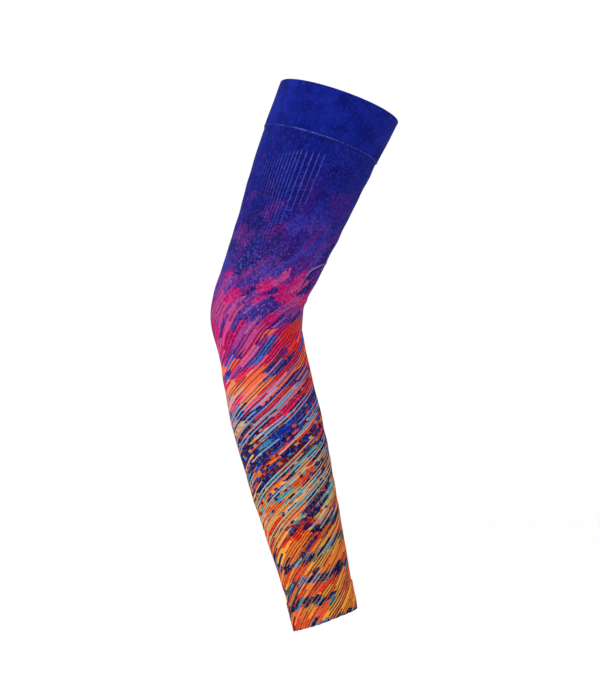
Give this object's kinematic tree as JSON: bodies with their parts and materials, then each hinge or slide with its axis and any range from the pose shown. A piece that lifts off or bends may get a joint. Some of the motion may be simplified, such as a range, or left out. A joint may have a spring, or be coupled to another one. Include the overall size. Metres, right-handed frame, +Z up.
{
  "type": "arm compression sleeve",
  "caption": "Knitted compression sleeve for a slightly bent arm: a tapering tube with a doubled cuff, a ribbed panel, creases at the elbow and a wrist band.",
  "frame": {"origin": "centre of the cuff's mouth, where the upper arm goes in", "axes": "+Z up with the upper arm's end on top, +X towards the side that the forearm bends to, +Y away from the ribbed panel's side"},
  "size_m": [0.1457, 0.0928, 0.4256],
  "materials": {
    "cuff_knit": "plain royal blue fine knit, matt with a faint mottle",
    "seam_thread": "raised linking stitches in a lighter blue thread",
    "printed_knit": "fine ribbed knit, printed with slanting strokes from blue through violet and magenta to orange",
    "wrist_knit": "denser knit band, printed in orange, red and navy strokes"
  },
  "bodies": {
    "root": {"upper_cuff": "cuff_knit", "cuff_seam": "seam_thread", "knit_sleeve": "printed_knit", "wrist_cuff": "wrist_knit"}
  },
  "joints": []
}
